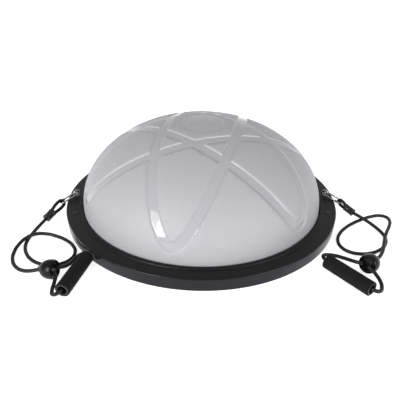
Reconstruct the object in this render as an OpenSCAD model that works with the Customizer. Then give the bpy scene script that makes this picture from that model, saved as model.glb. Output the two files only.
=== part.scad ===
// Balance dome trainer: an inflated half dome clamped on a round platform,
// with an elastic band, a stopper and a foam grip clipped on at each side.
// The origin is on the floor under the middle of the dome. +Z is up, and the
// grips lie on the floor on the -Y side.

/* [Platform] */
// Outer diameter of the platform
platform_d = 580; // [560:1:600]
// Height of the platform's top face above the floor
platform_h = 27; // [25:1:32]
// Wall thickness of the moulded ring
ring_wall = 3.5; // [2.5:0.5:4]
// Thickness of the base plate
base_t = 4; // [3:0.5:4.5]
// Height of the rubber pads under the base
pad_h = 3; // [2.5:0.5:3.5]
// Number of pads in the outer circle
pad_count = 8; // [6:1:12]
// Number of screws that clamp the ring to the base
screw_count = 12; // [8:4:16]

/* [Dome] */
// Diameter of the dome where it meets the ring
dome_d = 507; // [480:1:512]
// Height of the dome's top above the floor
dome_top = 200; // [180:1:210]
// Height of the dome's widest circle above the floor
dome_waist = 31; // [28:1:34]
// Thickness of the dome's skin
dome_skin = 3.5; // [2.5:0.5:4]

/* [Anchors] */
// Distance of each anchor eye from the middle
anchor_r = 272.5; // [270:0.5:275]
// Turn of the two anchors about the dome's axis
anchor_turn = 1.6; // [0:0.1:4]
// Height of the anchor eye's middle above the floor
eye_z = 35.2; // [35:0.1:37]
// Radius of the anchor eye's ring, to the middle of its wire
eye_r = 6.3; // [6:0.1:7]
// Wire diameter of the anchor eye
eye_wire = 3.6; // [3:0.1:4]

/* [Snap hooks] */
// Length of the snap hook, from wire middle to wire middle
hook_len = 41; // [38:1:43]
// Half width of the snap hook, to the middle of its wire
hook_r = 6.5; // [6.3:0.1:7]
// Wire diameter of the snap hook
hook_wire = 3.4; // [3:0.1:3.6]
// Slope of the snap hook down from the eye
hook_tilt = 14; // [12:1:15]

/* [Bands] */
// Diameter of the elastic cord
cord_d = 7; // [6:0.5:7]
// Diameter of the crimped sleeve
sleeve_d = 14.5; // [14.5:0.5:16]
// Length of the crimped sleeve
sleeve_len = 22; // [18:1:24]
// Largest diameter of the stopper
stopper_d = 36; // [34:1:37]
// Length of the foam grip's tube
grip_len = 100; // [95:1:102]
// Diameter of the foam grip
grip_d = 27; // [25:1:28]
// Diameter of the grip tube's bore
grip_bore = 18; // [17:0.5:19]

/* [Hidden] */
$fn = 96;
platform_r = platform_d / 2;
dome_r = dome_d / 2;
cord_r = cord_d / 2;
grip_r = grip_d / 2;
tube_wall = 2;

// Heights of the layers under the dome
base_top = pad_h + base_t;
membrane_t = 1.5;
flange_z = base_top + membrane_t;
flange_t = 3.5;
flange_r = 266;
lip_r = 255.4;
lip_top_r = 258.4;
ring_bottom = 1.5;
screw_r = 276;

// The valve sits under the base, away from the pads
valve_y = 120;
valve_bore = 3.2;

// Anchor places, as [x, y, z]
left_eye = [-anchor_r * cos(anchor_turn), -anchor_r * sin(anchor_turn), eye_z];
right_eye = [anchor_r * cos(anchor_turn), anchor_r * sin(anchor_turn), eye_z];

// Each snap hook's direction on plan and its roll about its own length
left_hook_turn = -137;
right_hook_turn = -36;
left_hook_roll = 10;
right_hook_roll = 4;

// The direction on plan in which each cord pulls on its hook
left_pull_turn = -120;
right_pull_turn = -50;
gate_pin_x = hook_len - hook_r - 4;

// Where each sleeve starts, and the direction of its far end
left_sleeve = [-312, -62, 19.5];
left_sleeve_end = [-323, -83, 13.5];
right_sleeve = [312, -26, 19.5];
right_sleeve_end = [326, -41, 13.5];

// The widest circle of each stopper, with its turn on plan and its tilt
left_stopper_at = [-264, -256, 18.8];
left_stopper_turn = 168;
right_stopper_at = [307, -227, 18.8];
right_stopper_turn = 42;
stopper_tilt = 8;
stopper_face = 9.5;
stopper_nose = 22;

// Room between the hook's wire and the cord that turns round it, and between the cord's strands
eye_slack = 0.8;
strand_gap = 0.3;
// The stretched strands are this much thinner than the bend, and start this deep inside its ends
strand_slim = 0.2;
strand_sink = 0.6;

// The open end of each grip, and its turn on plan
left_grip_at = [-234, -307, 13.5];
left_grip_turn = 77;
right_grip_at = [295, -293, 13.5];
right_grip_turn = 127.7;

// Route of the left elastic cord, from its sleeve to its stopper
left_route = [
    [-322, -81, 14], [-334, -105, 7.5], [-340, -126, 4], [-342, -147, 3.6],
    [-340, -167, 3.6], [-332, -187, 3.6], [-319, -206, 3.6], [-300, -220, 3.6],
    [-277, -225, 3.6], [-257, -219, 3.6], [-243, -204, 3.6], [-240, -184, 3.6],
    [-249, -163, 3.6], [-266, -145, 3.6], [-288, -132, 3.6], [-311, -126, 5],
    [-329, -131, 10], [-343, -146, 11.5], [-352, -166, 6.5], [-356, -188, 3.6],
    [-351, -210, 3.6], [-339, -231, 3.6], [-322, -244, 4.5], [-305, -248, 9],
    [-286, -251, 15]
];

// Route of the right elastic cord, from its sleeve to its stopper
right_route = [
    [325, -40, 14], [334, -50, 12.5], [345, -62, 11], [357, -76, 7],
    [367, -91, 4], [372, -109, 3.6], [371, -128, 3.6], [363, -147, 3.6],
    [348, -163, 3.6], [328, -173, 3.6], [306, -176, 3.6], [287, -169, 3.6],
    [275, -153, 3.6], [274, -130, 3.6], [285, -106, 3.6], [302, -84, 3.6],
    [322, -67, 3.6], [344, -52, 3.6], [366, -41, 3.6], [386, -33, 3.6],
    [401, -39, 3.6], [402, -60, 4.5], [391, -83, 8], [377, -108, 11.2],
    [366, -131, 11.5], [358, -154, 11.5], [350, -176, 11.5], [339, -197, 12.5],
    [324, -212, 15]
];

// Route of each grip's cord, from the stopper through the grip and back
left_grip_route = [
    [-257, -250, 19], [-246, -248, 18], [-240, -236, 14], [-236, -221, 11],
    [-232, -208, 10.5], [-225, -202, 12], [-216, -203, 13.5], [-216, -220, 13.5],
    [-223, -256, 13.5], [-234, -299, 13], [-241, -310, 11], [-249, -311, 9],
    [-254, -302, 9], [-252, -286, 12], [-253, -270, 17.5], [-259, -264, 19]
];
right_grip_route = [
    [296, -227, 20], [288, -226, 20], [279, -217, 17.5], [267, -203, 13.5],
    [254, -195, 12], [242, -192, 12], [232, -196, 12.5], [230, -205, 13.5],
    [242, -224, 13.5], [264, -252, 13.5], [292, -288, 13.5], [301, -294, 12],
    [310, -291, 9.5], [316, -282, 8.5], [318, -267, 10], [313, -252, 15],
    [304, -237, 19.5]
];

// ---- Placing ----

// Turns the child's +Z axis from point p towards point q, starting at p
module along(p, q) {
    d = q - p;
    translate(p)
        rotate([0, acos(d.z / norm(d)), atan2(d.y, d.x)])
            children();
}

// Puts a child made in the snap hook's own frame, +X along the hook, in its place
module at_hook(eye, turn, roll) {
    translate(eye)
        rotate([0, 0, turn])
            rotate([0, hook_tilt, 0])
                rotate([roll, 0, 0])
                    children();
}

// Lays a child's +Z axis along a direction on plan that slopes down by tilt
module lay(at, turn, tilt = 0) {
    translate(at)
        rotate([0, 90 + tilt, turn])
            children();
}

// A direction on plan that slopes down as the hooks do
function sloped(turn) = [cos(hook_tilt) * cos(turn), cos(hook_tilt) * sin(turn), -sin(hook_tilt)];

// The middle of the wire where the cord has slid round the hook's far bend to its own pull
function hook_end(eye, turn, pull) = eye + (hook_len - hook_r) * sloped(turn) + hook_r * sloped(pull);

// ---- Cord sweep ----

function unit(v) = v / norm(v);
function path_dir(p, i) = unit(p[min(i + 1, len(p) - 1)] - p[max(i - 1, 0)]);
function side_of(d) = unit(cross([0, 0, 1], d));

// One ring of points across the path at point i
function ring_at(p, i, r, n) = let (d = path_dir(p, i), s = side_of(d), u = cross(d, s))
    [for (k = [0:n - 1]) p[i] + r * (cos(360 * k / n) * s + sin(360 * k / n) * u)];

// A round tube swept along the path's points
module sweep_cord(p, d, n = 8) {
    rings = len(p);
    points = [for (i = [0:rings - 1]) each ring_at(p, i, d / 2, n)];
    walls = [for (i = [0:rings - 2], k = [0:n - 1])
        [(i + 1) * n + k, (i + 1) * n + (k + 1) % n, i * n + (k + 1) % n, i * n + k]];
    first = [for (k = [0:n - 1]) k];
    last = [for (k = [n - 1:-1:0]) (rings - 1) * n + k];
    polyhedron(points = points, faces = concat([first], walls, [last]));
}

// ---- Dome and platform ----

function dome_arc(r, h, step) = [for (a = [0:step:90]) [r * cos(a), dome_waist + h * sin(a)]];
function reversed(p) = [for (i = [len(p) - 1:-1:0]) p[i]];

// Inflated skin with the clamped flange at its foot
module dome() {
    outer = dome_arc(dome_r, dome_top - dome_waist, 3);
    inner = dome_arc(dome_r - dome_skin, dome_top - dome_waist - dome_skin, 3);
    color("silver")
        rotate_extrude($fn = 180)
            polygon(concat(
                [[dome_r - dome_skin, flange_z], [flange_r, flange_z],
                 [flange_r, flange_z + flange_t], [dome_r, flange_z + flange_t]],
                outer, reversed(inner)));
}

// Moulded ring: side wall, top face, inner lip that presses on the dome's flange
module ring_profile() {
    top_in = platform_h - ring_wall;
    fillet = 1.5;
    polygon(concat(
        [[platform_r - 1.1, ring_bottom]],
        [for (a = [0:30:90]) [platform_r - fillet + fillet * cos(a), platform_h - fillet + fillet * sin(a)]],
        [[lip_top_r, platform_h], [lip_r, platform_h - 2.5],
         [lip_r, flange_z + flange_t], [lip_r + ring_wall, flange_z + flange_t],
         [lip_r + ring_wall, top_in], [platform_r - 4, top_in], [platform_r - 4.6, ring_bottom]]));
}

module around(count, r, z, first = 0) {
    for (i = [0:count - 1])
        rotate([0, 0, first + 360 * i / count])
            translate([r, 0, z])
                children();
}

plug_turns = [-15, 15, 165, 195];

module platform_ring() {
    boss_h = platform_h - ring_wall - base_top;
    color("#2b2b2d")
        difference() {
            union() {
                rotate_extrude($fn = 180) ring_profile();
                around(screw_count, screw_r, base_top, anchor_turn + 15)
                    cylinder(d = 12, h = boss_h + 1, $fn = 48);
            }
            around(screw_count, screw_r, base_top - 1, anchor_turn + 15)
                cylinder(d = 3.6, h = 14, $fn = 32);
            for (a = plug_turns)
                rotate([0, 0, anchor_turn + a])
                    translate([anchor_r, 0, platform_h - 2])
                        cylinder(d = 13, h = 3, $fn = 48);
            for (e = [left_eye, right_eye])
                translate([e.x, e.y, platform_h - ring_wall - 1])
                    cylinder(d = 5.2, h = ring_wall + 2, $fn = 32);
        }
}

// Plugs sunk just under the ring's top face
module ring_plugs() {
    color("#222224")
        for (a = plug_turns)
            rotate([0, 0, anchor_turn + a])
                translate([anchor_r, 0, platform_h - 2])
                    cylinder(d = 12.8, h = 1, $fn = 48);
}

module base_plate() {
    color("#303032")
        difference() {
            translate([0, 0, pad_h]) cylinder(r = 285, h = base_t, $fn = 180);
            around(screw_count, screw_r, pad_h - 1, anchor_turn + 15) {
                cylinder(d = 4.5, h = base_t + 2, $fn = 32);
                cylinder(d = 9, h = 3, $fn = 32);
            }
            translate([0, valve_y, pad_h - 1]) cylinder(d = 28, h = base_t + 2, $fn = 64);
        }
}

// Flat airtight floor of the dome
module air_membrane() {
    color("gray")
        difference() {
            translate([0, 0, base_top]) cylinder(r = flange_r, h = membrane_t, $fn = 180);
            translate([0, valve_y, base_top - 1]) cylinder(d = 10, h = 4, $fn = 48);
        }
}

module clamp_screws() {
    color("silver")
        around(screw_count, screw_r, pad_h + 0.2, anchor_turn + 15) {
            cylinder(d1 = 7, d2 = 8, h = 1.8, $fn = 32);
            cylinder(d = 3.5, h = 14, $fn = 24);
        }
}

module grip_pads() {
    color("#1c1c1c") {
        around(pad_count, 240, 0, 22.5) cylinder(d = 40, h = pad_h, $fn = 64);
        cylinder(d = 60, h = pad_h, $fn = 64);
    }
}

module valve_seat() {
    color("white")
        translate([0, valve_y, 0])
            difference() {
                union() {
                    translate([0, 0, base_top - 1.5]) cylinder(r = 12, h = 1.5, $fn = 64);
                    translate([0, 0, base_top]) cylinder(r = 4.9, h = 11, $fn = 48);
                }
                translate([0, 0, base_top - 2]) cylinder(r = valve_bore, h = 14, $fn = 48);
            }
}

module valve_plug() {
    stem_r = valve_bore - 0.05;
    color("white")
        translate([0, valve_y, 0]) {
            translate([0, 0, base_top - 3.3]) cylinder(r = 7.5, h = 1.8, $fn = 48);
            translate([0, 0, base_top - 1.6]) cylinder(r = stem_r, h = 9, $fn = 48);
        }
}

// ---- Anchor ----

module eye_bolt(eye, turn) {
    color("gainsboro")
        translate([eye.x, eye.y, 0]) {
            translate([0, 0, eye.z])
                rotate([90, 0, turn])
                    rotate_extrude($fn = 64) translate([eye_r, 0]) circle(d = eye_wire, $fn = 32);
            translate([0, 0, platform_h]) cylinder(r = 4.2, h = 1.6, $fn = 48);
            translate([0, 0, 15]) cylinder(d = 5, h = platform_h - 14, $fn = 32);
        }
}

module eye_washer(eye) {
    color("silver")
        translate([eye.x, eye.y, platform_h - ring_wall - 1])
            difference() {
                cylinder(r = 6, h = 1, $fn = 48);
                translate([0, 0, -1]) cylinder(d = 5.2, h = 3, $fn = 32);
            }
}

module eye_nut(eye) {
    color("silver")
        translate([eye.x, eye.y, platform_h - ring_wall - 5])
            difference() {
                cylinder(r = 4.6, h = 4, $fn = 6);
                translate([0, 0, -1]) cylinder(d = 5.1, h = 6, $fn = 32);
            }
}

// ---- Snap hook, in its own frame ----

module wire_x(x0, x1, y, d) {
    translate([x0, y, 0])
        rotate([0, 90, 0])
            cylinder(d = d, h = x1 - x0, $fn = 32);
}

module wire_bend(x, turn) {
    translate([x, 0, 0])
        rotate([0, 0, turn])
            rotate_extrude(angle = 180, $fn = 64) translate([hook_r, 0]) circle(d = hook_wire, $fn = 32);
}

// One open link: the spine, both bends, the nose and the fork that holds the gate
module hook_body() {
    far = hook_len - hook_r;
    wire_bend(hook_r, 90);
    wire_bend(far, -90);
    wire_x(hook_r, far, hook_r, hook_wire);
    wire_x(hook_r, hook_r + 3, -hook_r, hook_wire);
    difference() {
        union() {
            translate([gate_pin_x, -hook_r, -2.2]) cylinder(r = 2, h = 4.4, $fn = 32);
            translate([gate_pin_x, -hook_r - 1.6, -2.2]) cube([4, 3.2, 4.4]);
        }
        translate([gate_pin_x - 3, -hook_r - 3, -1.35]) cube([5.4, 6, 2.7]);
        translate([gate_pin_x, -hook_r, -3]) cylinder(d = 1.3, h = 6, $fn = 24);
    }
}

module hook_gate() {
    tip = hook_r + 3.5;
    difference() {
        union() {
            wire_x(tip, gate_pin_x - 2.5, -hook_r, 3);
            translate([gate_pin_x - 3, -hook_r - 1.2, -1.2]) cube([3, 2.4, 2.4]);
            translate([gate_pin_x, -hook_r, -1.2]) cylinder(r = 1.6, h = 2.4, $fn = 32);
        }
        wire_x(tip + 3, gate_pin_x - 5, -hook_r, 1.8);
        translate([gate_pin_x, -hook_r, -3]) cylinder(d = 1.3, h = 6, $fn = 24);
    }
}

module hook_gate_pin() {
    translate([gate_pin_x, -hook_r, -2.2]) cylinder(d = 1.2, h = 4.4, $fn = 24);
}

module hook_gate_spring() {
    tip = hook_r + 3.5;
    difference() {
        wire_x(tip + 3.2, gate_pin_x - 5.2, -hook_r, 1.7);
        wire_x(tip + 3, gate_pin_x - 5, -hook_r, 0.9);
    }
}

// ---- Band ----

// Doubled cord that runs round the hook's far end and into the sleeve
module cord_eye(end, sleeve) {
    bend = hook_wire / 2 + cord_r + eye_slack;
    reach = norm(sleeve - end) + 2;
    lean = atan2(bend - cord_r - strand_gap / 2, reach);
    color("#1d1d1f")
        along(end, sleeve) {
            rotate([90, 0, 0])
                rotate([0, 0, 180])
                    rotate_extrude(angle = 180, $fn = 48) translate([bend, 0]) circle(d = cord_d, $fn = 32);
            for (side = [-1, 1])
                translate([side * bend, 0, 0])
                    rotate([0, -side * lean, 0])
                        translate([0, 0, -strand_sink])
                            cylinder(d = cord_d - strand_slim, h = reach + strand_sink, $fn = 32);
        }
}

module sleeve(p, q) {
    color("#3a3a3c")
        along(p, q)
            rotate_extrude($fn = 48)
                polygon([[0, 0], [sleeve_d / 2 - 1.5, 0], [sleeve_d / 2, 1.5],
                    [sleeve_d / 2, sleeve_len - 1.5], [sleeve_d / 2 - 1.5, sleeve_len], [0, sleeve_len]]);
}

// Stopper: dished flat face on the grip's side, blunt round nose towards the elastic cord
module stopper(at, turn) {
    r = stopper_d / 2;
    color("#262628")
        lay(at, turn, stopper_tilt)
            rotate_extrude($fn = 96)
                polygon([[0, -stopper_face + 1.5], [r - 5.5, -stopper_face + 1.5], [r - 4.2, -stopper_face],
                    [r - 2.4, -stopper_face + 0.6], [r - 0.8, -6], [r, -2], [r, 2.5], [r - 0.8, 8],
                    [r - 2.6, 13], [r - 5.6, 17], [r - 9.4, 20], [r - 12, stopper_nose], [0, stopper_nose]]);
}

module collar(at, turn) {
    color("#3a3a3c")
        lay(at, turn, stopper_tilt)
            translate([0, 0, stopper_nose])
                difference() {
                    cylinder(r1 = 6, r2 = 5.2, h = 4, $fn = 48);
                    translate([0, 0, -1]) cylinder(r = cord_r, h = 6, $fn = 32);
                }
}

module grip_tube(at, turn) {
    color("#4a4a4c")
        lay(at, turn)
            difference() {
                cylinder(d = grip_bore + 2 * tube_wall, h = grip_len, $fn = 64);
                translate([0, 0, -1]) cylinder(d = grip_bore, h = grip_len + 2, $fn = 64);
            }
}

module grip_foam(at, turn) {
    color("#19191b")
        lay(at, turn)
            translate([0, 0, 0.5])
                difference() {
                    cylinder(r = grip_r, h = grip_len - 1, $fn = 96);
                    translate([0, 0, -1]) cylinder(d = grip_bore + 2 * tube_wall, h = grip_len + 2, $fn = 64);
                }
}

// ---- Left side ----

module left_eye_bolt() { eye_bolt(left_eye, left_hook_turn); }
module left_eye_washer() { eye_washer(left_eye); }
module left_eye_nut() { eye_nut(left_eye); }
module left_hook() { color("gainsboro") at_hook(left_eye, left_hook_turn, left_hook_roll) hook_body(); }
module left_gate() { color("gainsboro") at_hook(left_eye, left_hook_turn, left_hook_roll) hook_gate(); }
module left_gate_pin() { color("gray") at_hook(left_eye, left_hook_turn, left_hook_roll) hook_gate_pin(); }
module left_gate_spring() { color("gray") at_hook(left_eye, left_hook_turn, left_hook_roll) hook_gate_spring(); }
module left_cord_eye() { cord_eye(hook_end(left_eye, left_hook_turn, left_pull_turn), left_sleeve); }
module left_sleeve() { sleeve(left_sleeve, left_sleeve_end); }
module left_cord() { color("#1d1d1f") sweep_cord(left_route, cord_d); }
module left_stopper() { stopper(left_stopper_at, left_stopper_turn); }
module left_collar() { collar(left_stopper_at, left_stopper_turn); }
module left_grip_cord() { color("#1d1d1f") sweep_cord(left_grip_route, cord_d); }
module left_grip_tube() { grip_tube(left_grip_at, left_grip_turn); }
module left_grip_foam() { grip_foam(left_grip_at, left_grip_turn); }

// ---- Right side ----

module right_eye_bolt() { eye_bolt(right_eye, right_hook_turn); }
module right_eye_washer() { eye_washer(right_eye); }
module right_eye_nut() { eye_nut(right_eye); }
module right_hook() { color("gainsboro") at_hook(right_eye, right_hook_turn, right_hook_roll) hook_body(); }
module right_gate() { color("gainsboro") at_hook(right_eye, right_hook_turn, right_hook_roll) hook_gate(); }
module right_gate_pin() { color("gray") at_hook(right_eye, right_hook_turn, right_hook_roll) hook_gate_pin(); }
module right_gate_spring() { color("gray") at_hook(right_eye, right_hook_turn, right_hook_roll) hook_gate_spring(); }
module right_cord_eye() { cord_eye(hook_end(right_eye, right_hook_turn, right_pull_turn), right_sleeve); }
module right_sleeve() { sleeve(right_sleeve, right_sleeve_end); }
module right_cord() { color("#1d1d1f") sweep_cord(right_route, cord_d); }
module right_stopper() { stopper(right_stopper_at, right_stopper_turn); }
module right_collar() { collar(right_stopper_at, right_stopper_turn); }
module right_grip_cord() { color("#1d1d1f") sweep_cord(right_grip_route, cord_d); }
module right_grip_tube() { grip_tube(right_grip_at, right_grip_turn); }
module right_grip_foam() { grip_foam(right_grip_at, right_grip_turn); }

dome();
platform_ring();
base_plate();
air_membrane();
clamp_screws();
ring_plugs();
grip_pads();
valve_seat();
valve_plug();
left_eye_bolt();
left_eye_washer();
left_eye_nut();
left_hook();
left_gate();
left_gate_pin();
left_gate_spring();
left_cord_eye();
left_sleeve();
left_cord();
left_stopper();
left_collar();
left_grip_cord();
left_grip_tube();
left_grip_foam();
right_eye_bolt();
right_eye_washer();
right_eye_nut();
right_hook();
right_gate();
right_gate_pin();
right_gate_spring();
right_cord_eye();
right_sleeve();
right_cord();
right_stopper();
right_collar();
right_grip_cord();
right_grip_tube();
right_grip_foam();
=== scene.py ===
# %% [markdown]
# # A balance dome trainer, piece by piece
# An inflated half dome is clamped on a round black platform. An elastic band hangs on a chrome eye at
# each side, with a snap hook, a crimped sleeve, a stopper and a foam grip. The design gives the bodies
# and the joints, and these cells dress it. The platform's and the dome's heights are read from the
# design's boxes; the other sizes are typed again here and have to agree with the design.

import math

import bpy
from mathutils import Matrix, Vector, geometry, kdtree, noise


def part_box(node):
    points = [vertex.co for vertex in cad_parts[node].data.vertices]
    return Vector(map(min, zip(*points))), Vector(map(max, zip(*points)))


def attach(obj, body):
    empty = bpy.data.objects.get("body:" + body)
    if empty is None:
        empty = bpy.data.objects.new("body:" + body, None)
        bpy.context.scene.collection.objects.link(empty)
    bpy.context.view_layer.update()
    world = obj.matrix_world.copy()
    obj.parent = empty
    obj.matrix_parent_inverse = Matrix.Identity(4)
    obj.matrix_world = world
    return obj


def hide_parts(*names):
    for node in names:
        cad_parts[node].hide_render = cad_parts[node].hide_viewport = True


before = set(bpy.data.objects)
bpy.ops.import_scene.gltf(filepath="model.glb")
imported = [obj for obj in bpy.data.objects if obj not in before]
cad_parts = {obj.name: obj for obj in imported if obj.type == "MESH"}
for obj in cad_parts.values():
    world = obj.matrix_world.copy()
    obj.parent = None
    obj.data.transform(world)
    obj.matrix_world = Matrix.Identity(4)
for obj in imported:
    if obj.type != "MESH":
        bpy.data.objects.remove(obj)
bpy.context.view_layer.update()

# %% [markdown]
# ## Small helpers
# An operator acts on whatever is selected, and loading leaves the design selected. So a fresh start
# always means: object mode, nothing selected.

# %% Selection helpers
MM = 0.001
UP = Vector((0, 0, 1))


def mm(*values):
    """A point given in millimetres, in metres."""
    return Vector(values) * MM


def nothing_selected():
    """Leaves edit mode and deselects every object."""
    if bpy.context.mode != "OBJECT":
        bpy.ops.object.mode_set(mode="OBJECT")
    bpy.ops.object.select_all(action="DESELECT")
    bpy.context.view_layer.objects.active = None


def only(piece):
    """Makes this piece the one that operators act on."""
    nothing_selected()
    piece.select_set(True)
    bpy.context.view_layer.objects.active = piece
    return piece


def named(name):
    """Names the primitive that was just added, and puts its place into its mesh."""
    piece = bpy.context.object
    piece.name = piece.data.name = name
    bpy.ops.object.transform_apply(location=True, rotation=True, scale=True)
    return piece


def settle(piece, place):
    """Moves a finished mesh to its place, so that the object itself stays at the origin."""
    piece.data.transform(place)
    piece.data.update()
    return piece


def smooth(piece, angle=40):
    """Smooth shading, with edges sharper than the angle left crisp."""
    only(piece)
    bpy.ops.object.shade_smooth_by_angle(angle=math.radians(angle))
    return piece


print("lengths below are in metres, or in millimetres times", MM)

# %% [markdown]
# ## Camera
# The camera stands in front of the dome, about 30 degrees above the floor, and leans a little. A near
# camera with a wide lens and a far one with a long lens draw the platform alike, but the near one makes
# the front of the floor look larger, so its distance is set together with the lens.

# %% Camera
CAMERA_REACH = 1.1175
CAMERA_PITCH = 0.5241
CAMERA_LEAN = 0.0135
LENS, SENSOR, SIDE_SHIFT = 45.4, 36, -0.0035
aim = Vector((0, 0, 0.01686))

camera = bpy.data.objects.new("camera", bpy.data.cameras.new("camera"))
bpy.context.scene.collection.objects.link(camera)
back = Vector((0, -math.cos(CAMERA_PITCH), math.sin(CAMERA_PITCH)))
camera.matrix_world = (
    Matrix.Translation(aim + back * CAMERA_REACH)
    @ Matrix.Rotation(math.pi / 2 - CAMERA_PITCH, 4, "X")
    @ Matrix.Rotation(CAMERA_LEAN, 4, "Z")
)
camera.data.sensor_width = SENSOR
camera.data.lens = LENS
camera.data.shift_x = SIDE_SHIFT
bpy.context.scene.camera = camera
print("camera at", [round(x, 3) for x in camera.matrix_world.translation])

# %% [markdown]
# ## Cords
# Each band is one 7 mm elastic cord. Where it passes the snap hook it is doubled into an eye and
# crimped in a sleeve; from the sleeve it lies on the floor in a loose loop and climbs into the stopper.
# A second cord leaves the stopper, runs through the foam grip and comes back. The eye, the rest of the
# band and the grip's cord are drawn as three curves. A Bezier curve with automatic handles is a cord's
# own line, and its bevel gives the thickness. Each route holds the places that the cord passes.

# %% The routes, in millimetres
CORD = 7.0
left_route = [
    (-322, -81, 14), (-334, -105, 7.5), (-340, -126, 4), (-342, -147, 3.6),
    (-340, -167, 3.6), (-332, -187, 3.6), (-319, -206, 3.6), (-300, -220, 3.6),
    (-277, -225, 3.6), (-257, -219, 3.6), (-243, -204, 3.6), (-240, -184, 3.6),
    (-249, -163, 3.6), (-266, -145, 3.6), (-288, -132, 3.6), (-311, -126, 5),
    (-329, -131, 10), (-343, -146, 11.5), (-352, -166, 6.5), (-356, -188, 3.6),
    (-351, -210, 3.6), (-339, -231, 3.6), (-322, -244, 4.5), (-305, -248, 9),
    (-286, -251, 15),
]
right_route = [
    (325, -40, 14), (334, -50, 12.5), (345, -62, 11), (357, -76, 7),
    (367, -91, 4), (372, -109, 3.6), (371, -128, 3.6), (363, -147, 3.6),
    (348, -163, 3.6), (328, -173, 3.6), (306, -176, 3.6), (287, -169, 3.6),
    (275, -153, 3.6), (274, -130, 3.6), (285, -106, 3.6), (302, -84, 3.6),
    (322, -67, 3.6), (344, -52, 3.6), (366, -41, 3.6), (386, -33, 3.6),
    (401, -39, 3.6), (402, -60, 4.5), (391, -83, 8), (377, -108, 11.2),
    (366, -131, 11.5), (358, -154, 11.5), (350, -176, 11.5), (339, -197, 12.5),
    (324, -212, 15),
]
left_grip_route = [
    (-257, -250, 19), (-246, -248, 18), (-240, -236, 14), (-236, -221, 11),
    (-232, -208, 10.5), (-225, -202, 12), (-216, -203, 13.5), (-216, -220, 13.5),
    (-223, -256, 13.5), (-234, -299, 13), (-241, -310, 11), (-249, -311, 9),
    (-254, -302, 9), (-252, -286, 12), (-253, -270, 17.5), (-259, -264, 19),
]
right_grip_route = [
    (296, -227, 20), (288, -226, 20), (279, -217, 17.5), (267, -203, 13.5),
    (254, -195, 12), (242, -192, 12), (232, -196, 12.5), (230, -205, 13.5),
    (242, -224, 13.5), (264, -252, 13.5), (292, -288, 13.5), (301, -294, 12),
    (310, -291, 9.5), (316, -282, 8.5), (318, -267, 10), (313, -252, 15),
    (304, -237, 19.5),
]
print("points:", [len(r) for r in (left_route, right_route, left_grip_route, right_grip_route)])


# %% A cord from its route
PULL, PUSH = 0.5, -0.535


def eased(route, rounds=6):
    """Evens out a listed route: each round pulls the points together, then pushes them back."""
    points = [Vector(place) for place in route]
    for pull in (PULL, PUSH) * rounds:
        middle = [(a + c) / 2 - b for a, b, c in zip(points, points[1:], points[2:])]
        points[1:-1] = [b + move * pull for b, move in zip(points[1:-1], middle)]
    return [Vector((p.x, p.y, max(p.z, CORD / 2 + 0.1))) for p in points]


def cord_curve(name, route):
    """A round cord whose centreline passes through every point of the route it is given."""
    curve = bpy.data.curves.new(name, "CURVE")
    curve.dimensions = "3D"
    curve.bevel_depth = CORD / 2 * MM
    curve.bevel_resolution = 5
    curve.resolution_u = 8
    curve.use_fill_caps = True
    line = curve.splines.new("BEZIER")
    line.bezier_points.add(len(route) - 1)
    for knot, place in zip(line.bezier_points, route):
        knot.co = Vector(place) * MM
        knot.handle_left_type = knot.handle_right_type = "AUTO"
    piece = bpy.data.objects.new(name, curve)
    bpy.context.scene.collection.objects.link(piece)
    return piece


def cord_length(piece):
    """The length of the centreline, measured on the smooth curve."""
    bpy.context.view_layer.update()
    total = 0
    knots = piece.data.splines[0].bezier_points
    for a, b in zip(knots, knots[1:]):
        bend = geometry.interpolate_bezier(a.co, a.handle_right, b.handle_left, b.co, 12)
        total += sum((q - p).length for p, q in zip(bend, bend[1:]))
    return total


print("cords are", CORD, "mm thick")

# %% The eye of each band
HOOK_LENGTH, HOOK_BEND, HOOK_WIRE, HOOK_TILT = 41.0, 6.5, 3.4, math.radians(14)
EYE_RADIUS, EYE_HEIGHT, ANCHOR_TURN = 272.5, 35.2, math.radians(1.6)
EYE_SLACK, STRAND_GAP, INTO_SLEEVE = 0.8, 0.15, 2


def eye_place(side):
    """The middle of the anchor eye on the left (-1) or the right (+1), in millimetres."""
    flat = side * EYE_RADIUS
    return Vector((flat * math.cos(ANCHOR_TURN), flat * math.sin(ANCHOR_TURN), EYE_HEIGHT))


def sloped(turn):
    """A direction on plan that slopes down as the hooks do."""
    flat = math.cos(HOOK_TILT)
    return Vector((flat * math.cos(turn), flat * math.sin(turn), -math.sin(HOOK_TILT)))


def hook_end(side, turn, pull):
    """The middle of the wire where the cord has slid round the hook's far bend to its own pull."""
    return eye_place(side) + (HOOK_LENGTH - HOOK_BEND) * sloped(turn) + HOOK_BEND * sloped(pull)


def eye_route(end, sleeve, roll):
    """Two strands out of the sleeve, joined by a half turn round the hook's wire."""
    down = (sleeve - end).normalized()
    level = UP.cross(down).normalized()
    across = math.cos(roll) * down.cross(level) + math.sin(roll) * level
    bend = HOOK_WIRE / 2 + CORD / 2 + EYE_SLACK
    reach = (sleeve - end).length + INTO_SLEEVE
    near = CORD / 2 + STRAND_GAP
    half_turn = [math.radians(a) for a in range(0, 181, 30)]
    arc = [end + bend * (math.cos(a) * across - math.sin(a) * down) for a in half_turn]
    belly, neck = bend * 1.06, (bend + near) / 2
    stops = [(near, reach), (neck, reach * 0.78), (belly, reach * 0.42)]
    way_out = [end + out * across + along * down for out, along in stops]
    way_back = [end - out * across + along * down for out, along in reversed(stops)]
    return way_out + arc + way_back


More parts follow.
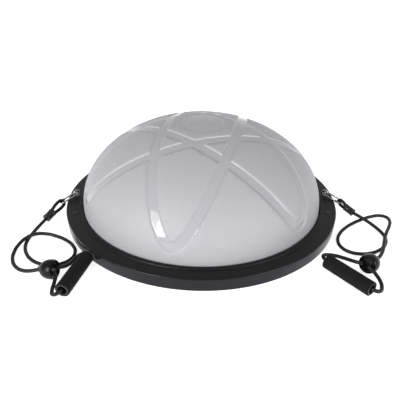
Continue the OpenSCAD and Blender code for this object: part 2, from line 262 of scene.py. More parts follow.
HOOK_TURN = {"left": math.radians(-137), "right": math.radians(-36)}
PULL_TURN = {"left": math.radians(-120), "right": math.radians(-50)}
SLEEVE = {
    "left": (Vector((-312, -62, 19.5)), Vector((-323, -83, 13.5))),
    "right": (Vector((312, -26, 19.5)), Vector((326, -41, 13.5))),
}
EYE_ROLL = {"left": math.radians(-42), "right": math.radians(-12)}
SIDES = {"left": -1, "right": 1}
cords = {}
for side, sign in SIDES.items():
    end = hook_end(sign, HOOK_TURN[side], PULL_TURN[side])
    band_route = left_route if sign < 0 else right_route
    grip_route = left_grip_route if sign < 0 else right_grip_route
    cords[side] = {
        "eye": cord_curve(side + "_band_eye", eye_route(end, SLEEVE[side][0], EYE_ROLL[side])),
        "band": cord_curve(side + "_band_cord", eased(band_route)),
        "grip": cord_curve(side + "_handle_cord", eased(grip_route, 2)),
    }
    print(side, {k: round(cord_length(c), 4) for k, c in cords[side].items()})

# %% [markdown]
# ## Shader sums written as Python
# A material is a graph of nodes. Wrapping each output socket lets a pattern be written as a sum: the
# class below adds a Math node for every operator, and one method adds any other node.

# %% Finishes
class Wire:
    """One output of a node. Sums on wires add Math nodes."""

    def __init__(self, finish, socket):
        self.finish = finish
        self.socket = socket

    def sum(self, operation, *values):
        return self.finish.add("ShaderNodeMath", {"operation": operation}, dict(enumerate(values)))

    def __add__(self, other):
        return self.sum("ADD", self, other)

    def __sub__(self, other):
        return self.sum("SUBTRACT", self, other)

    def __rsub__(self, other):
        return self.sum("SUBTRACT", other, self)

    def __mul__(self, other):
        return self.sum("MULTIPLY", self, other)

    __radd__ = __add__
    __rmul__ = __mul__


class Finish:
    """A material with a Principled shader, and the methods that build its nodes."""

    def __init__(self, name, **constants):
        self.material = bpy.data.materials.new(name)
        self.material.use_nodes = True
        self.tree = self.material.node_tree
        self.shader = self.tree.nodes["Principled BSDF"]
        self.set(**constants)

    def feed(self, socket, value):
        """Links a wire to a socket, or sets the socket's own value."""
        if isinstance(value, Wire):
            self.tree.links.new(value.socket, socket)
        elif isinstance(value, tuple) and len(value) == 3 and socket.type == "RGBA":
            socket.default_value = (*value, 1)
        else:
            socket.default_value = value

    def set(self, **values):
        """Sets the shader's sockets; an underscore in a name stands for a space."""
        for key, value in values.items():
            self.feed(self.shader.inputs[key.replace("_", " ")], value)

    def add(self, kind, settings=None, values=None, output=0):
        """Adds a node: its settings first, then its sockets. Returns one output as a wire."""
        node = self.tree.nodes.new(kind)
        for key, value in (settings or {}).items():
            if key == "stops":
                for stop, (place, shade) in zip(node.color_ramp.elements, value):
                    stop.position = place
                    stop.color = (shade, shade, shade, 1)
            else:
                setattr(node, key, value)
        for key, value in (values or {}).items():
            self.feed(node.inputs[key], value)
        return Wire(self, node.outputs[output])

    def place(self):
        """The point on the surface, in metres from the object's origin."""
        return self.add("ShaderNodeTexCoord", output="Object")

    def noise(self, scale, detail=3):
        """Soft noise from 0 to 1, with so many bumps to the metre."""
        return self.add(
            "ShaderNodeTexNoise", {"noise_dimensions": "3D"},
            {"Vector": self.place(), "Scale": scale, "Detail": detail})

    def ramp(self, value, *stops):
        """Runs a number through a ramp of (place, shade) stops."""
        return self.add("ShaderNodeValToRGB", {"stops": stops}, {"Fac": value})

    def blend(self, share, first, second):
        """Mixes two colours."""
        node = self.tree.nodes.new("ShaderNodeMix")
        node.data_type = "RGBA"
        for key, value in (("Factor_Float", share), ("A_Color", first), ("B_Color", second)):
            socket = next(s for s in node.inputs if s.identifier == key)
            self.feed(socket, value)
        return Wire(self, next(s for s in node.outputs if s.identifier == "Result_Color"))

    def bump(self, height, depth, strength=1.0, under=None):
        """Turns a height from 0 to 1 into a tilt of the surface, depth metres deep."""
        values = {"Height": height, "Distance": depth, "Strength": strength}
        if under is not None:
            values["Normal"] = under
        return self.add("ShaderNodeBump", {}, values)


def grey(level, warm=0.0, violet=0.0):
    """A near-grey colour, given in linear light."""
    return (level * (1 + warm), level, level * (1 + violet))


finishes = {}
print("finish tools ready")

# %% [markdown]
# ### The dome's skin
# The skin is soft grey PVC. Its fields carry a fine grid of moulded dots, and look matt; the sunken
# bands are smooth and shine. A mask stored on the mesh says which is which, so one material does both.
# Halfway between the two lies the rounded rim of a band, painted a little paler as a painted highlight,
# and the foot of the dome, where the skin is pulled down into its clamp, is painted paler as painted
# light.

# %% Dome skin
DOT_PITCH = 0.0029
FOOT_TOP, FOOT_LOW, FOOT_LIGHT_SHARE = 0.060, 0.027, 0.36
RIM_HIGHLIGHT_SHARE = 0.36
skin = Finish("dome_skin", IOR=1.47)
fields = skin.add("ShaderNodeAttribute", {"attribute_name": "field"}, output="Fac")
flat_map = skin.add("ShaderNodeUVMap", {"uv_map": "skin"})
dots = skin.add(
    "ShaderNodeTexVoronoi", {"feature": "F1", "voronoi_dimensions": "2D"},
    {"Vector": flat_map, "Scale": 1 / DOT_PITCH, "Randomness": 0.12}, output="Distance")
dot_height_and_painted_highlight = skin.ramp(dots, (0.15, 1.0), (0.52, 0.0)) * fields
grain = skin.noise(900, 2)
cloud = skin.noise(7, 3)
# Painted highlight: the rim of each band, between field and band, is painted paler.
painted_rim_highlight = fields * (1 - fields) * 4
height_on_dome = skin.add("ShaderNodeSeparateXYZ", {}, {"Vector": skin.place()}, output=2)
# Painted light: the foot of the dome is painted paler the lower it lies.
painted_foot_light = skin.add(
    "ShaderNodeMapRange", {"interpolation_type": "SMOOTHSTEP"},
    {"Value": height_on_dome, "From Min": FOOT_TOP, "From Max": FOOT_LOW,
     "To Min": 0.0, "To Max": FOOT_LIGHT_SHARE})
field_tone = skin.blend(cloud, (0.322, 0.314, 0.338), (0.344, 0.336, 0.360))
# Painted highlight: the raised dots are painted lighter where they rise.
field_tone = skin.blend(dot_height_and_painted_highlight * 0.3, field_tone, (0.45, 0.445, 0.465))
field_tone = skin.blend(painted_foot_light, field_tone, (0.500, 0.490, 0.515))
band_tone, rim_highlight_tone = (0.338, 0.332, 0.356), (0.62, 0.61, 0.64)
rim_highlight_part = painted_rim_highlight * RIM_HIGHLIGHT_SHARE
skin.set(
    Base_Color=skin.blend(rim_highlight_part, skin.blend(fields, band_tone, field_tone), rim_highlight_tone),
    Roughness=fields * 0.40 + 0.06 + cloud * 0.03,
    Normal=skin.bump(grain * fields, 0.00004, 0.4, skin.bump(dot_height_and_painted_highlight, 0.0004, 0.6)),
)
finishes["dome_skin"] = skin.material
print("dots every", DOT_PITCH, "m on the fields")

# %% [markdown]
# ### Plastics, rubber and foam
# The black parts differ mostly in how they shine. Each gets its own fine grain, a slow change of
# roughness as handling leaves it, and a slightly different black.

# %% Black and grey mouldings
def moulding(name, level, rough, grain_scale, grain_depth, violet=0.04, **constants):
    """A moulded plastic or rubber: a spark-eroded grain over slow changes of shine."""
    finish = Finish(name, **constants)
    drift = finish.noise(18, 3)
    fine = finish.noise(grain_scale, 2)
    low, high = grey(level * 0.88, violet=violet), grey(level * 1.14, violet=violet)
    finish.set(
        Base_Color=finish.blend(drift * 0.7 + fine * 0.3, low, high),
        Roughness=drift * 0.14 + (rough - 0.07),
        Normal=finish.bump(fine, grain_depth, 0.5),
    )
    finishes[name] = finish.material


moulding("base_plastic", 0.012, 0.55, 900, 0.00010, IOR=1.40)
moulding("membrane", 0.16, 0.45, 700, 0.00004)
moulding("plug_plastic", 0.006, 0.40, 1600, 0.00004, IOR=1.40)
moulding("pad_rubber", 0.008, 0.75, 1200, 0.00012, IOR=1.35)
moulding("valve_plastic", 0.62, 0.38, 1400, 0.00003, violet=-0.04)
moulding("cord_rubber", 0.0050, 0.45, 1300, 0.00006, IOR=1.36)
moulding("sleeve_plastic", 0.012, 0.36, 1500, 0.00005, IOR=1.36)
moulding("stopper_plastic", 0.0016, 0.24, 1500, 0.00003, violet=0.10, IOR=1.30)
moulding("tube_plastic", 0.030, 0.40, 1400, 0.00004, IOR=1.42)
print("mouldings:", [name for name in finishes if name != "dome_skin"])

# %% The ring: its side wall is painted a little greyer than its top, as painted light on the side and painted shade on the top
SIDE_ENDS, TOP_BEGINS = 0.0245, 0.0272
ring = Finish("ring_plastic", IOR=1.28)
height_on_ring = ring.add("ShaderNodeSeparateXYZ", {}, {"Vector": ring.place()}, output=2)
top_rougher_and_painted_darker = ring.add(
    "ShaderNodeMapRange", {"interpolation_type": "SMOOTHSTEP"},
    {"Value": height_on_ring, "From Min": SIDE_ENDS, "From Max": TOP_BEGINS})
worn = ring.noise(18, 3)
speck = ring.noise(1500, 2)
# The side is painted lighter as painted light, the top darker as painted shade; the top is also rougher.
painted_lit_side_tone = ring.blend(worn, (0.0092, 0.0082, 0.0120), (0.0120, 0.0108, 0.0152))
painted_shaded_top_tone = ring.blend(worn, grey(0.0036, violet=0.10), grey(0.0052, violet=0.10))
ring.set(
    Base_Color=ring.blend(top_rougher_and_painted_darker, painted_lit_side_tone, painted_shaded_top_tone),
    Roughness=top_rougher_and_painted_darker * 0.18 + 0.19 + worn * 0.06,
    Normal=ring.bump(speck, 0.00006, 0.4),
)
finishes["ring_plastic"] = ring.material
print("the ring's top finish begins", TOP_BEGINS, "m above the floor")

# %% Foam
foam = Finish("grip_foam", IOR=1.4)
pore_pits_and_painted_shade = foam.add(
    "ShaderNodeTexVoronoi", {"feature": "F1"},
    {"Vector": foam.place(), "Scale": 1100, "Randomness": 1.0}, output="Distance")
swell = foam.noise(60, 3)
foam.set(
    # Painted shade: the pits of the pores are painted darker than the foam.
    Base_Color=foam.blend(pore_pits_and_painted_shade, grey(0.0040, violet=0.08), grey(0.0100, violet=0.08)),
    Roughness=swell * 0.1 + 0.78,
    Normal=foam.bump(swell, 0.0006, 0.35, foam.bump(pore_pits_and_painted_shade, 0.00035, 0.6)),
)
foam.set(Specular_IOR_Level=0.2)
finishes["grip_foam"] = foam.material
print("foam nodes:", len(foam.tree.nodes))


# %% Metals
def metal(name, level, rough, scratch):
    """Plated metal with faint scratches that run every way."""
    finish = Finish(name, Metallic=1.0)
    haze = finish.noise(90, 4)
    lines = finish.noise(2400, 2)
    finish.set(
        Base_Color=finish.blend(haze, grey(level * 0.9), grey(level)),
        Roughness=haze * 0.12 + rough,
        Normal=finish.bump(lines, scratch, 0.3),
    )
    finishes[name] = finish.material


metal("chrome", 0.42, 0.13, 0.00001)
metal("steel", 0.60, 0.24, 0.00002)
print("finishes:", sorted(finishes))

# %% [markdown]
# ## The dome
# Three long loops, each an ellipse drawn on the dome, cross under the top and divide the skin into
# fields. The loops are sunk by about 2 mm. A plain grid of faces would cut their edges into steps, so
# the edges are drawn first, as lines on a flat map of the dome, and the faces are then laid between
# the lines by a Delaunay triangulation. Each point is last lifted from the map on to the dome.

# %% Dome sizes, from the design
platform_low, platform_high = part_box("platform_ring")
_, dome_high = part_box("dome")
DOME_RADIUS = 0.2535
WAIST = 0.031
DOME_RISE = dome_high.z - WAIST
FLANGE_RADIUS, FLANGE_TOP, SKIN = 0.2658, 0.012, 0.0035
SUNK = 0.0019
BAND_HALF = 0.0108
WALL = 0.0014
LOOP_LONG, LOOP_SHORT = 1.395, 0.302
LOOP_TURNS = [math.radians(-101.6 + 60 * k) for k in range(3)]
DISC_RADIUS, DISC_SUNK = 0.0446, 0.0012
LOOP_POINTS, DISC_POINTS, FOOT_POINTS = 420, 96, 320


def on_dome(flat):
    """Lifts a point of the flat map, whose distance from the middle is an angle, on to the dome."""
    angle = flat.length
    if angle < 1e-9:
        return Vector((0, 0, WAIST + DOME_RISE))
    out = flat / angle
    reach = DOME_RADIUS * math.sin(angle)
    return Vector((reach * out.x, reach * out.y, WAIST + DOME_RISE * math.cos(angle)))


def off_dome(place):
    """The map point of a place near the dome."""
    x, y, z = place.x / DOME_RADIUS, place.y / DOME_RADIUS, (place.z - WAIST) / DOME_RISE
    angle = math.acos(max(-1, min(1, z / math.sqrt(x * x + y * y + z * z))))
    out = Vector((x, y))
    return out.normalized() * angle if out.length > 1e-9 else Vector((0, 0))


def dome_normal(place):
    """Straight out of the dome at a place on it."""
    wide, high = DOME_RADIUS**2, DOME_RISE**2
    return Vector((place.x / wide, place.y / wide, (place.z - WAIST) / high)).normalized()


def loop_middle(turn, count):
    """Points along the middle of one loop, on the dome."""
    places = []
    for step in range(count):
        a = 2 * math.pi * step / count
        u, v = LOOP_LONG * math.cos(a), LOOP_SHORT * math.sin(a)
        across = u * math.cos(turn) - v * math.sin(turn)
        along = u * math.sin(turn) + v * math.cos(turn)
        flat = Vector((across, along))
        places.append(on_dome(flat))
    return places


def loop_edge(middle, away):
    """A line on the map that keeps a set distance from the loop's middle."""
    edge = []
    for before, place, after in zip(middle[-1:] + middle[:-1], middle, middle[1:] + middle[:1]):
        side = (after - before).cross(dome_normal(place)).normalized()
        edge.append(off_dome(place + side * away))
    return edge


middles = [loop_middle(turn, LOOP_POINTS) for turn in LOOP_TURNS]
closed_loop = middles[0] + middles[0][:1]
loop_length = sum((q - p).length for p, q in zip(closed_loop, closed_loop[1:]))
print("one loop is", round(loop_length, 3), "m long")

# %% [markdown]
# Each wall of a sunk band is drawn with five lines, so that it rolls over at the top and fills in at
# the foot. Five more lines run along the floor between the walls, because a shiny floor shows every
# uneven face. Points in between lie on a grid of triangles, but none so near a line that a sliver forms.

# %% Lines and points of the flat map
STEPS_IN_WALL = 4
FLOOR_LINES = [6.6 * MM, 3.6 * MM]
GRID = 0.030
ROW_STEP = 0.866
SPARE_COLUMNS = 20
CLEAR, CLEAR_OF_FOOT = 0.0035, 0.008

wall_lines = [BAND_HALF - WALL * k / STEPS_IN_WALL for k in range(STEPS_IN_WALL + 1)]
map_points, map_lines = [], []


def draw_line(points):
    """Adds a closed line to the map."""
    first = len(map_points)
    map_points.extend(points)
    map_lines.extend((first + k, first + (k + 1) % len(points)) for k in range(len(points)))


def circle_on_map(radius, count):
    """A circle about the dome's top, of a radius measured on plan."""
    angle = math.asin(radius / DOME_RADIUS)
    turns = [2 * math.pi * k / count for k in range(count)]
    return [Vector((angle * math.cos(a), angle * math.sin(a))) for a in turns]


for middle in middles:
    draw_line(loop_edge(middle, 0))
    for away in wall_lines + FLOOR_LINES:
        draw_line(loop_edge(middle, away))
        draw_line(loop_edge(middle, -away))
for k in range(STEPS_IN_WALL + 1):
    draw_line(circle_on_map(DISC_RADIUS - WALL * k / STEPS_IN_WALL, DISC_POINTS))
draw_line(circle_on_map(DOME_RADIUS, FOOT_POINTS))

drawn_tree = kdtree.KDTree(len(map_points))
for index, flat in enumerate(map_points):
    drawn_tree.insert(on_dome(flat), index)
drawn_tree.balance()
rows = int(math.pi / 2 / (GRID * ROW_STEP)) + 1
columns = rows + SPARE_COLUMNS
for row in range(-rows, rows + 1):
    for column in range(-columns, columns + 1):
        flat = Vector(((column + 0.5 * (row % 2)) * GRID, row * GRID * ROW_STEP))
        if flat.length >= math.pi / 2 - CLEAR_OF_FOOT:
            continue
        if drawn_tree.find(on_dome(flat))[2] > CLEAR:
            map_points.append(flat)
print("map:", len(map_points), "points,", len(map_lines), "drawn edges")

# %% Faces of the dome
flat_map_points = [Vector(p[:2]) for p in map_points]
faces_of_map = geometry.delaunay_2d_cdt(flat_map_points, map_lines, [], 0, 1e-6, False)
flat_points, _, flat_faces = faces_of_map[:3]
middle_tree = kdtree.KDTree(sum(len(m) for m in middles))
for index, place in enumerate(p for m in middles for p in m):
    middle_tree.insert(place, index)
middle_tree.balance()


def ease(share):
    """Goes from 0 to 1 with a soft start and a soft end."""
    share = max(0.0, min(1.0, share))
    return share * share * (3 - 2 * share)


def sunk_share(place):
    """How far a place is inside a band: 0 on the fields, 1 on the floor of a band."""
    distance = middle_tree.find(place)[2]
    return ease((BAND_HALF - distance) / WALL)


places, field_values = [], []
for flat in flat_points:
    place = on_dome(Vector(flat))
    band = sunk_share(place)
    disc = ease((DISC_RADIUS - math.hypot(place.x, place.y)) / WALL)
    field_values.append(1 - max(band, disc))
    places.append(place - dome_normal(place) * (SUNK * band + DISC_SUNK * disc))

skin_mesh = bpy.data.meshes.new("dome_shell")
skin_mesh.from_pydata([tuple(p) for p in places], [], flat_faces)
skin_mesh.attributes.new("field", "FLOAT", "POINT").data.foreach_set("value", field_values)
unwrapped = skin_mesh.uv_layers.new(name="skin")
METRES_PER_TURN = 0.211
for loop in skin_mesh.loops:
    unwrapped.data[loop.index].uv = Vector(flat_points[loop.vertex_index]) * METRES_PER_TURN
dome_shell = bpy.data.objects.new("dome_shell", skin_mesh)
bpy.context.scene.collection.objects.link(dome_shell)
print("dome faces:", len(flat_faces))

# %% [markdown]
# Below its widest circle the skin turns straight down between the platform's lips, and out into the
# flange that the ring clamps. That is two extrusions of the open edge, and Solidify gives the skin its
# thickness.

# %% Foot, flange and thickness
only(dome_shell)
bpy.ops.object.mode_set(mode="EDIT")
bpy.ops.mesh.select_all(action="SELECT")
bpy.ops.mesh.normals_make_consistent(inside=False)
bpy.ops.mesh.select_all(action="DESELECT")
bpy.ops.mesh.select_mode(type="EDGE")
bpy.ops.mesh.select_non_manifold(
    extend=False, use_wire=False, use_multi_face=False, use_non_contiguous=False)
FIRST_DROP = 0.006
for drop in (FIRST_DROP, WAIST - FIRST_DROP - FLANGE_TOP):
    bpy.ops.mesh.extrude_region_move(TRANSFORM_OT_translate={"value": (0, 0, -drop)})
bpy.ops.mesh.extrude_region_move(TRANSFORM_OT_translate={"value": (0, 0, 0)})
spread = FLANGE_RADIUS / DOME_RADIUS
bpy.ops.transform.resize(value=(spread, spread, 1), center_override=(0, 0, FLANGE_TOP))
bpy.ops.object.mode_set(mode="OBJECT")
thicken = dome_shell.modifiers.new("Skin", "SOLIDIFY")
thicken.thickness = SKIN
thicken.offset = -1
bpy.ops.object.modifier_apply(modifier=thicken.name)
smooth(dome_shell, 60)
dome_shell.data.materials.append(finishes["dome_skin"])
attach(dome_shell, "platform")
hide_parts("dome")
dome_size = [round(v, 4) for v in dome_shell.dimensions]
print("dome shell:", len(dome_shell.data.polygons), "faces", dome_size)

# %% [markdown]
# ## Turned pieces
# The stopper, its collar, the sleeve, the foam, the ring and its plugs are all round about one axis.
# Each is drawn as half an outline, by pulling one point from place to place, and spun through a full
# turn. The sleeve is then widened, more one way than the other, because a crimp leaves it oval.

# %% Spinning an outline
def arc(middle_r, middle_z, radius, first, last, count=5):
    """Points of a round stretch of an outline; the angles are in degrees."""
    turns = [math.radians(first + (last - first) * k / (count - 1)) for k in range(count)]
    return [(middle_r + radius * math.cos(a), middle_z + radius * math.sin(a)) for a in turns]


def spun(name, outline, steps=64, closed=False):
    """Pulls one point along an outline of (radius, height) pairs in mm, and spins it about Z."""
    nothing_selected()
    points = [(r * MM, z * MM) for r, z in outline]
    bpy.ops.mesh.primitive_plane_add(size=0.001, location=(points[0][0], 0, points[0][1]))
    piece = named(name)
    bpy.ops.object.mode_set(mode="EDIT")
    bpy.ops.mesh.select_mode(type="VERT")
    bpy.ops.mesh.select_all(action="SELECT")
    bpy.ops.mesh.merge(type="CENTER")
    for (r0, z0), (r1, z1) in zip(points, points[1:] + points[:1] * closed):
        bpy.ops.mesh.extrude_region_move(TRANSFORM_OT_translate={"value": (r1 - r0, 0, z1 - z0)})
    bpy.ops.mesh.select_all(action="SELECT")
    bpy.ops.mesh.spin(steps=steps, angle=2 * math.pi, center=(0, 0, 0), axis=(0, 0, 1))
    bpy.ops.mesh.select_all(action="SELECT")
    bpy.ops.mesh.remove_doubles(threshold=0.000005)
    bpy.ops.mesh.normals_make_consistent(inside=False)
    bpy.ops.object.mode_set(mode="OBJECT")
    return piece


def lying(at, turn, tilt=0.0):
    """The placing that lays a piece's +Z along a direction on plan, sloping down by tilt."""
    heading = Matrix.Rotation(math.radians(turn), 4, "Z")
    slope = Matrix.Rotation(math.radians(90 + tilt), 4, "Y")
    return Matrix.Translation(at) @ heading @ slope


def pointing(start, end):
    """The placing that turns a piece's +Z from one place towards another."""
    return Matrix.Translation(start) @ (end - start).to_track_quat("Z", "Y").to_matrix().to_4x4()


def dress(piece, finish, body, slot, *stands_for):
    """Gives a new piece its finish and its body, and hides the design's nodes that it stands for; slot
    is not used.
    """
    piece.data.materials.clear()
    piece.data.materials.append(finishes[finish])
    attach(piece, body)
    if stands_for:
        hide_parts(*stands_for)
    return piece


print("finishes to hand out:", len(finishes))

# %% Stoppers, with their collars
STOPPER = {"left": (mm(-264, -256, 18.8), 168), "right": (mm(307, -227, 18.8), 42)}
STOPPER_TILT = 8
stopper_outline = (
    [(0, -6.6), (5.0, -7.0), (10.5, -7.8)]
    + arc(13.6, -7.9, 1.6, 200, 60, 6)
    + [(16.6, -7.2), (17.6, -5.0), (18.0, -2.4), (18.0, 1.6), (17.75, 5.0), (17.1, 8.4)]
    + [(16.0, 11.6), (14.3, 14.8), (12.0, 17.6), (9.4, 19.8)]
    + arc(6.6, 20.4, 1.6, 20, 90, 4)
    + [(0, 22.0)]
)
collar_outline = (
    [(3.5, 22.0), (5.2, 22.0)] + arc(5.1, 22.9, 0.9, -60, 60, 4)
    + [(5.0, 24.4)] + arc(4.5, 25.3, 0.7, 0, 90, 4) + [(3.5, 26.0)]
)
stoppers, collars = {}, {}
for side in SIDES:
    at, turn = STOPPER[side]
    place = lying(at, turn, STOPPER_TILT)
    stopper = smooth(settle(spun(side + "_band_stopper", stopper_outline, 72), place), 35)
    stoppers[side] = dress(
        stopper, "stopper_plastic", side + "_band", "stopper_plastic", side + "_stopper")
    collar = smooth(settle(spun(side + "_band_collar", collar_outline, 48, closed=True), place), 50)
    collars[side] = dress(
        collar, "sleeve_plastic", side + "_band", "sleeve_plastic", side + "_collar")
print("stoppers:", [len(p.data.polygons) for p in stoppers.values()])

# %% Sleeves, crimped over the doubled cord
sleeve_outline = (
    [(0, 0.8), (5.6, 0.8)] + arc(6.35, 0.9, 0.9, 180, 360, 6)
    + [(7.25, 2.6), (6.75, 3.6), (6.75, 18.4), (7.25, 19.4)]
    + arc(6.35, 21.1, 0.9, 0, 180, 6) + [(5.6, 21.2), (0, 21.2)]
)
CRIMP = {"left": (1.26, 1.16), "right": (1.06, 1.14)}
for side in SIDES:
    start, end = (place * MM for place in SLEEVE[side])
    sleeve = spun(side + "_band_sleeve", sleeve_outline, 48)
    settle(sleeve, Matrix.Diagonal((*CRIMP[side], 1, 1)))
    settle(sleeve, pointing(start, end))
    dress(
        smooth(sleeve, 40), "sleeve_plastic", side + "_band", "sleeve_plastic", side + "_sleeve")
    print(sleeve.name, [round(v, 4) for v in sleeve.dimensions])

# %% Foam grips
GRIP = {"left": (mm(-234, -307, 13.5), 77), "right": (mm(295, -293, 13.5), 127.7)}
FOAM_RADIUS, TUBE_RADIUS, FOAM_START, FOAM_END, FOAM_EDGE = 13.5, 11.0, 0.5, 99.5, 1.1
foam_outline = (
    [(TUBE_RADIUS, FOAM_END)]
    + [(TUBE_RADIUS, z) for z in (75, 50, 25)] + [(TUBE_RADIUS, FOAM_START)]
    + arc(FOAM_RADIUS - FOAM_EDGE, FOAM_START + FOAM_EDGE, FOAM_EDGE, 270, 360, 4)
    + [(FOAM_RADIUS, z) for z in range(4, 97, 4)]
    + arc(FOAM_RADIUS - FOAM_EDGE, FOAM_END - FOAM_EDGE, FOAM_EDGE, 0, 90, 4)
)
LUMP_DEPTH, LUMP_SIZE = 0.00022, 0.012


def lumpy(piece, depth, size):
    """Moves each point in or out a little, as soft foam never stays a true cylinder."""
    for vertex in piece.data.vertices:
        outward = Vector((vertex.co.x, vertex.co.y, 0)).normalized()
        vertex.co += outward * noise.noise(vertex.co / size) * depth
    piece.data.update()
    return piece


for side in SIDES:
    at, turn = GRIP[side]
    foam_piece = spun(side + "_grip_pad", foam_outline, 72, closed=True)
    lumpy(foam_piece, LUMP_DEPTH, LUMP_SIZE)
    settle(foam_piece, lying(at, turn))
    dress(
        smooth(foam_piece, 50), "grip_foam", side + "_grip", "grip_foam", side + "_grip_foam")
    print(foam_piece.name, [round(v, 4) for v in foam_piece.dimensions])

# %% [markdown]
# ## The clamping ring
# The ring is one moulding: a side wall, a flat top and a low bead beside the dome. What the eye picks
# out is the light along its rounded edges, so the outline has real arcs there. Four domed plugs close
# its moulding holes; the holes are cut with a Boolean, since they are not on the ring's own axis.

# %% Ring
RING_RADIUS, EDGE, DRAFT, SHELL = 290.0, 3.0, 1.1, 3.5
BEAD, BEAD_LIFT, BEAD_ARC, BEAD_FOOT = 1.6, 0.8, 262.4, 264.6
LIP_RADIUS, LIP_FOOT, LIP_BEVEL, LIP_STRAIGHT = 255.4, 15.6, 0.4, 2.5
FLAT_MIDDLE, WALL_AT_TOP, WALL_AT_FOOT = 276, 4, 4.6
ring_low, ring_top = platform_low.z / MM, platform_high.z / MM
bead_height, under_top = ring_top + BEAD_LIFT, ring_top - SHELL
ring_outline = (
    [(RING_RADIUS - DRAFT, ring_low)]
    + arc(RING_RADIUS - EDGE, ring_top - EDGE, EDGE, 0, 90, 8)
    + [(FLAT_MIDDLE, ring_top), (BEAD_FOOT, ring_top)]
    + arc(BEAD_ARC, bead_height, BEAD, 0, 90, 7)
    + arc(LIP_RADIUS + LIP_BEVEL + BEAD, bead_height, BEAD, 90, 180, 6)
    + [(LIP_RADIUS, ring_top - LIP_STRAIGHT), (LIP_RADIUS, LIP_FOOT), (LIP_RADIUS + SHELL, LIP_FOOT)]
    + [(LIP_RADIUS + SHELL, under_top), (RING_RADIUS - WALL_AT_TOP, under_top)]
    + [(RING_RADIUS - WALL_AT_FOOT, ring_low)]
)
clamp_ring = spun("clamp_ring", ring_outline, 240, closed=True)
PLUG_RADIUS, PLUG_DEPTH, PLUG_TURNS = 6.5, 2.0, (-15, 15, 165, 195)


def plug_place(turn):
    """The middle of a plug, level with the ring's top."""
    around = ANCHOR_TURN + math.radians(turn)
    return mm(EYE_RADIUS * math.cos(around), EYE_RADIUS * math.sin(around), ring_top)


nothing_selected()
for turn in PLUG_TURNS:
    bpy.ops.mesh.primitive_cylinder_add(
        vertices=48, radius=PLUG_RADIUS * MM, depth=2 * PLUG_DEPTH * MM, location=plug_place(turn))
    cutter = named("plug_cutter")
    only(clamp_ring)
    hole = clamp_ring.modifiers.new("Plug hole", "BOOLEAN")
    hole.object = cutter
    hole.solver = "EXACT"
    bpy.ops.object.modifier_apply(modifier=hole.name)
    bpy.data.objects.remove(cutter)
dress(smooth(clamp_ring, 22), "ring_plastic", "platform", "ring_plastic", "platform_ring")
ring_size = [round(v, 4) for v in clamp_ring.dimensions]
print("ring:", len(clamp_ring.data.polygons), "faces", ring_size)

# %% Plugs
CAP_RADIUS, CAP_FOOT = PLUG_RADIUS - 0.1, -1.95
plug_outline = (
    [(0, 1.2), (1.5, 1.14), (3.0, 0.95), (4.4, 0.65), (5.5, 0.32), (6.1, 0.08)]
    + [(CAP_RADIUS, -0.15), (CAP_RADIUS, CAP_FOOT), (0, CAP_FOOT)]
)
caps = []
for turn in PLUG_TURNS:
    cap = spun("ring_plug_cap", plug_outline, 40)
    caps.append(settle(cap, Matrix.Translation(plug_place(turn))))
only(caps[0])
for cap in caps[1:]:
    cap.select_set(True)
bpy.ops.object.join()
dress(smooth(caps[0], 30), "plug_plastic", "platform", "ring_plastic", "ring_plugs")
print("plugs:", len(caps[0].data.polygons), "faces")

# %% [markdown]
# ## Dressing the cords
# The band cord carries its sleeve, collar and stopper.

# %% Cords dressed
for side in SIDES:
    body = side + "_band"
    stands_for = {"eye": side + "_cord_eye", "band": side + "_cord", "grip": side + "_grip_cord"}
    for part, piece in cords[side].items():
        dress(piece, "cord_rubber", body, "cord_rubber", stands_for[part])
        start = piece.data.splines[0].bezier_points[0].co

# %% [markdown]
# ## Finishes of the design's own pieces
# Plates, pins, screws and hooks keep the design's exact shape and only change their finish.

# %% Finishes on the design's nodes
NODE_FINISH = {
    "base_plate": "base_plastic", "air_membrane": "membrane",
    "clamp_screws": "steel", "grip_pads": "pad_rubber",
    "valve_seat": "valve_plastic", "valve_plug": "valve_plastic",
}
for side in SIDES:
    for part in ("eye_bolt", "hook", "gate"):
        NODE_FINISH[side + "_" + part] = "chrome"
    for part in ("eye_washer", "eye_nut", "gate_pin", "gate_spring"):
        NODE_FINISH[side + "_" + part] = "steel"
    NODE_FINISH[side + "_grip_tube"] = "tube_plastic"
for node, finish in NODE_FINISH.items():
    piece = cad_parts[node]
    piece.data.materials.clear()
    piece.data.materials.append(finishes[finish])
print("dressed nodes:", len(NODE_FINISH))

# %% [markdown]
# ## Floor and light
# A white floor, a tall soft box in front on the left with a brighter strip down one side, a soft box on
# the right that lifts the shadows, and a sky that is brightest near the horizon.

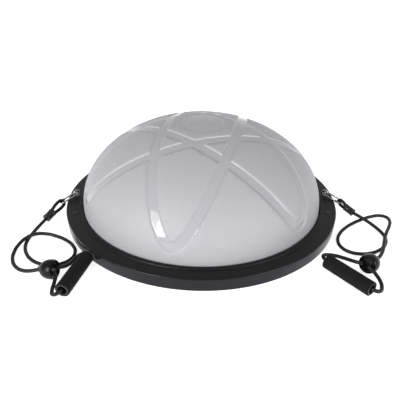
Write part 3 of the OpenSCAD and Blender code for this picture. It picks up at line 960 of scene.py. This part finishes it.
# %% Floor
FLOOR_TONE, FLOOR_GLOW = (0.62, 0.62, 0.625), 0.76
nothing_selected()
bpy.ops.mesh.primitive_plane_add(size=24, location=(0, 0, 0))
floor = named("floor")
floor_finish = Finish("floor_white", Roughness=0.9)
floor_finish.set(Base_Color=FLOOR_TONE, Specular_IOR_Level=0.1)
floor_finish.set(Emission_Color=(1.0, 1.0, 1.0), Emission_Strength=FLOOR_GLOW)
floor.data.materials.append(floor_finish.material)
print("floor:", [round(v, 1) for v in floor.dimensions])


# %% Lights
def soft_box(name, place, target, width, height, power):
    """A rectangular light that faces its target."""
    lamp = bpy.data.lights.new(name, "AREA")
    lamp.shape = "RECTANGLE"
    lamp.size, lamp.size_y, lamp.energy = width, height, power
    piece = bpy.data.objects.new(name, lamp)
    bpy.context.scene.collection.objects.link(piece)
    way = (Vector(target) - Vector(place)).to_track_quat("-Z", "Y").to_matrix().to_4x4()
    piece.matrix_world = Matrix.Translation(place) @ way


soft_box("key", (-1.33, -1.50, 0.90), (0, 0, 0.1), 0.95, 1.15, 18)
soft_box("key_strip", (-1.13, -1.60, 0.90), (0, 0, 0.1), 0.32, 1.15, 15)
soft_box("fill", (1.7, -1.4, 0.9), (0, 0, 0.1), 1.2, 1.0, 21)

world = bpy.data.worlds.new("studio")
bpy.context.scene.world = world
world.use_nodes = True
sky = world.node_tree
way_up = sky.nodes.new("ShaderNodeSeparateXYZ")
fall_off = sky.nodes.new("ShaderNodeMapRange")
fall_off.interpolation_type = "SMOOTHSTEP"
sky_range = {"From Min": 0.02, "From Max": 0.45, "To Min": 0.95, "To Max": 0.58}
for key, value in sky_range.items():
    fall_off.inputs[key].default_value = value
directions = sky.nodes.new("ShaderNodeTexCoord").outputs["Generated"]
sky.links.new(directions, way_up.inputs["Vector"])
sky.links.new(way_up.outputs["Z"], fall_off.inputs["Value"])
sky.links.new(fall_off.outputs["Result"], sky.nodes["Background"].inputs["Strength"])
sky.nodes["Background"].inputs["Color"].default_value = (1, 1, 1, 1)
bpy.context.scene.view_settings.view_transform = "Standard"
